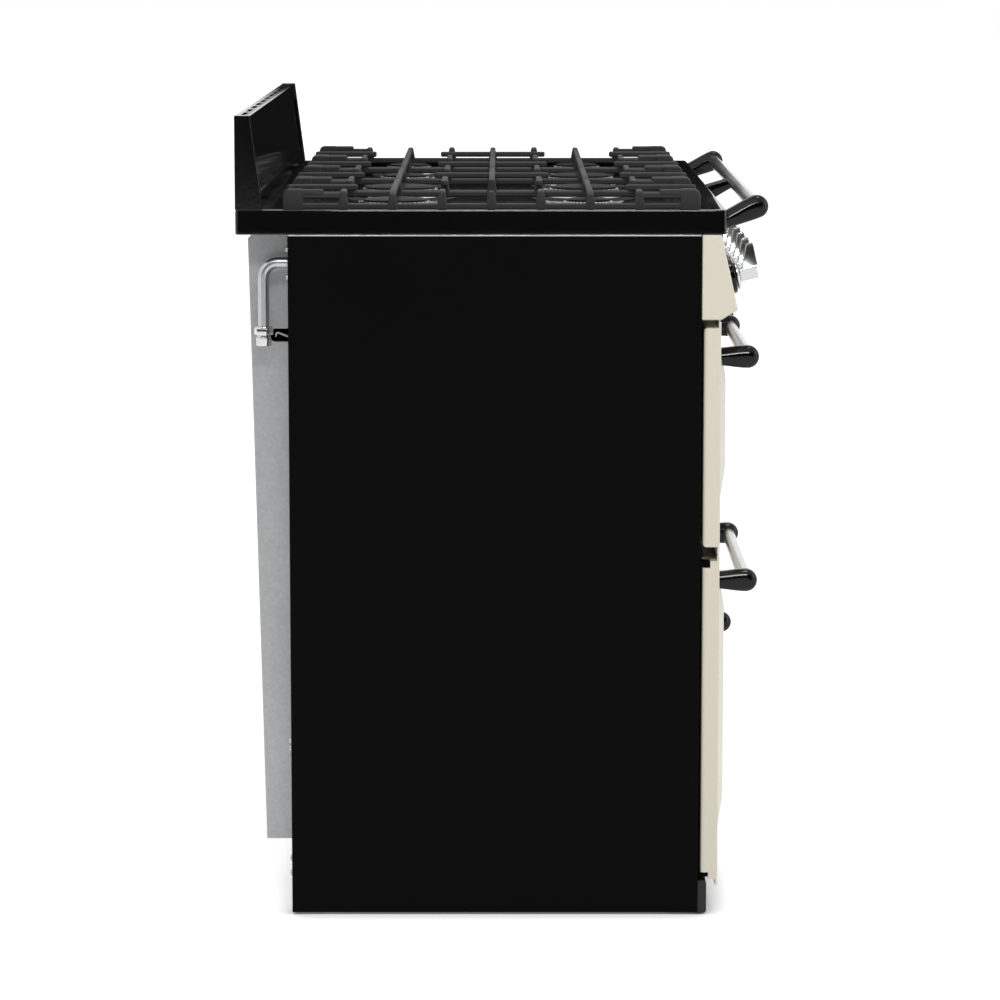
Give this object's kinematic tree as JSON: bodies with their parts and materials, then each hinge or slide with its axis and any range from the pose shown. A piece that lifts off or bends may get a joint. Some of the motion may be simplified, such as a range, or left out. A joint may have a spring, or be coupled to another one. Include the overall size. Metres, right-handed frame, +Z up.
{
  "type": "gas range cooker",
  "caption": "Wide free-standing gas range cooker with cast pan supports, lever knobs, front rail, grill and oven doors, storage drawer and splashback.",
  "frame": {"origin": "on the floor, under the middle of the cooker", "axes": "+Z up, -Y to the front, +X to the right as seen from the front"},
  "size_m": [1.1, 0.668, 1.017],
  "materials": {
    "cream_enamel": "gloss vitreous enamel",
    "black_enamel": "gloss vitreous enamel",
    "black_paint": "satin stove paint",
    "plinth_paint": "satin stove paint",
    "galvanised": "zinc coated sheet",
    "plated_steel": "zinc plate",
    "cast_iron": "matt enamelled casting",
    "burner_alloy": "die cast",
    "brass": "turned",
    "chrome": "polished plate",
    "black_gloss": "moulded gloss",
    "seal_rope": "glass fibre rope",
    "drawer_paint": "satin stove paint"
  },
  "bodies": {
    "carcass": {"control_fascia": "cream_enamel", "hob_tray": "black_enamel", "splashback": "black_enamel", "burner_caps": "black_enamel", "grill_liner": "black_enamel", "left_oven_liner": "black_enamel", "right_oven_liner": "black_enamel", "grill_pan": "black_enamel", "side_panels": "black_paint", "hinge_brackets": "black_paint", "front_frame": "black_paint", "plinth": "plinth_paint", "rear_cover": "galvanised", "carcass": "galvanised", "drawer_runners": "galvanised", "gas_inlet_pipe": "galvanised", "feet": "plated_steel", "panel_screws": "plated_steel", "inlet_nut": "plated_steel", "oven_burners": "plated_steel", "burner_cups": "burner_alloy", "burner_crowns": "burner_alloy", "gas_manifold": "burner_alloy", "gas_taps": "brass", "rail_bar": "chrome", "oven_shelves": "chrome", "rail_posts": "black_gloss", "knob_bezels": "black_gloss", "door_seals": "seal_rope"},
    "grill_door": {"grill_door": "cream_enamel", "grill_door_inner": "galvanised", "grill_handle_posts": "black_gloss", "grill_handle_bar": "chrome"},
    "left_oven_door": {"left_oven_door": "cream_enamel", "left_oven_door_inner": "galvanised", "left_oven_handle_posts": "black_gloss", "left_oven_handle_bar": "chrome"},
    "right_oven_door": {"right_oven_door": "cream_enamel", "right_oven_door_inner": "galvanised", "right_oven_handle_posts": "black_gloss", "right_oven_handle_bar": "chrome"},
    "drawer": {"drawer_front": "cream_enamel", "drawer_box": "drawer_paint", "drawer_handle_posts": "black_gloss", "drawer_handle_bar": "chrome"},
    "knob_1": {"knob_1": "chrome"},
    "knob_2": {"knob_2": "chrome"},
    "knob_3": {"knob_3": "chrome"},
    "knob_4": {"knob_4": "chrome"},
    "knob_5": {"knob_5": "chrome"},
    "knob_6": {"knob_6": "chrome"},
    "knob_7": {"knob_7": "chrome"},
    "knob_8": {"knob_8": "chrome"},
    "knob_9": {"knob_9": "chrome"},
    "knob_10": {"knob_10": "chrome"},
    "knob_11": {"knob_11": "chrome"},
    "pan_support_1": {"pan_support_1": "cast_iron"},
    "pan_support_2": {"pan_support_2": "cast_iron"},
    "pan_support_3": {"pan_support_3": "cast_iron"},
    "pan_support_4": {"pan_support_4": "cast_iron"}
  },
  "joints": [
    {"name": "grill_door_drop", "type": "hinge", "parent": "carcass", "child": "grill_door", "pos_m": [-0.2755, -0.268, 0.484], "axis": [1, 0, 0], "range_deg": [0, 90]},
    {"name": "left_oven_door_swing", "type": "hinge", "parent": "carcass", "child": "left_oven_door", "pos_m": [-0.5415, -0.2582, 0.25], "axis": [0, 0, -1], "range_deg": [0, 90]},
    {"name": "right_oven_door_swing", "type": "hinge", "parent": "carcass", "child": "right_oven_door", "pos_m": [0.5415, -0.2582, 0.54], "axis": [0, 0, 1], "range_deg": [0, 90]},
    {"name": "drawer_slide", "type": "slide", "parent": "carcass", "child": "drawer", "axis": [0, -1, 0], "range_m": [0, 0.35]},
    {"name": "knob_1_turn", "type": "hinge", "parent": "carcass", "child": "knob_1", "pos_m": [-0.46, -0.2874, 0.809], "axis": [0, -0.9759, 0.218], "range_deg": [0, 270]},
    {"name": "knob_2_turn", "type": "hinge", "parent": "carcass", "child": "knob_2", "pos_m": [-0.368, -0.2874, 0.809], "axis": [0, -0.9759, 0.218], "range_deg": [0, 270]},
    {"name": "knob_3_turn", "type": "hinge", "parent": "carcass", "child": "knob_3", "pos_m": [-0.276, -0.2874, 0.809], "axis": [0, -0.9759, 0.218], "range_deg": [0, 210]},
    {"name": "knob_4_turn", "type": "hinge", "parent": "carcass", "child": "knob_4", "pos_m": [-0.184, -0.2874, 0.809], "axis": [0, -0.9759, 0.218], "range_deg": [0, 210]},
    {"name": "knob_5_turn", "type": "hinge", "parent": "carcass", "child": "knob_5", "pos_m": [-0.092, -0.2874, 0.809], "axis": [0, -0.9759, 0.218], "range_deg": [0, 210]},
    {"name": "knob_6_turn", "type": "hinge", "parent": "carcass", "child": "knob_6", "pos_m": [0, -0.2874, 0.809], "axis": [0, -0.9759, 0.218], "range_deg": [0, 210]},
    {"name": "knob_7_turn", "type": "hinge", "parent": "carcass", "child": "knob_7", "pos_m": [0.092, -0.2874, 0.809], "axis": [0, -0.9759, 0.218], "range_deg": [0, 210]},
    {"name": "knob_8_turn", "type": "hinge", "parent": "carcass", "child": "knob_8", "pos_m": [0.184, -0.2874, 0.809], "axis": [0, -0.9759, 0.218], "range_deg": [0, 210]},
    {"name": "knob_9_turn", "type": "hinge", "parent": "carcass", "child": "knob_9", "pos_m": [0.276, -0.2874, 0.809], "axis": [0, -0.9759, 0.218], "range_deg": [0, 210]},
    {"name": "knob_10_turn", "type": "hinge", "parent": "carcass", "child": "knob_10", "pos_m": [0.368, -0.2874, 0.809], "axis": [0, -0.9759, 0.218], "range_deg": [0, 210]},
    {"name": "knob_11_turn", "type": "hinge", "parent": "carcass", "child": "knob_11", "pos_m": [0.46, -0.2874, 0.809], "axis": [0, -0.9759, 0.218], "range_deg": [0, 270]},
    {"name": "pan_support_1_lift", "type": "slide", "parent": "carcass", "child": "pan_support_1", "axis": [0, 0, 1], "range_m": [0, 0.08]},
    {"name": "pan_support_2_lift", "type": "slide", "parent": "carcass", "child": "pan_support_2", "axis": [0, 0, 1], "range_m": [0, 0.08]},
    {"name": "pan_support_3_lift", "type": "slide", "parent": "carcass", "child": "pan_support_3", "axis": [0, 0, 1], "range_m": [0, 0.08]},
    {"name": "pan_support_4_lift", "type": "slide", "parent": "carcass", "child": "pan_support_4", "axis": [0, 0, 1], "range_m": [0, 0.08]}
  ]
}
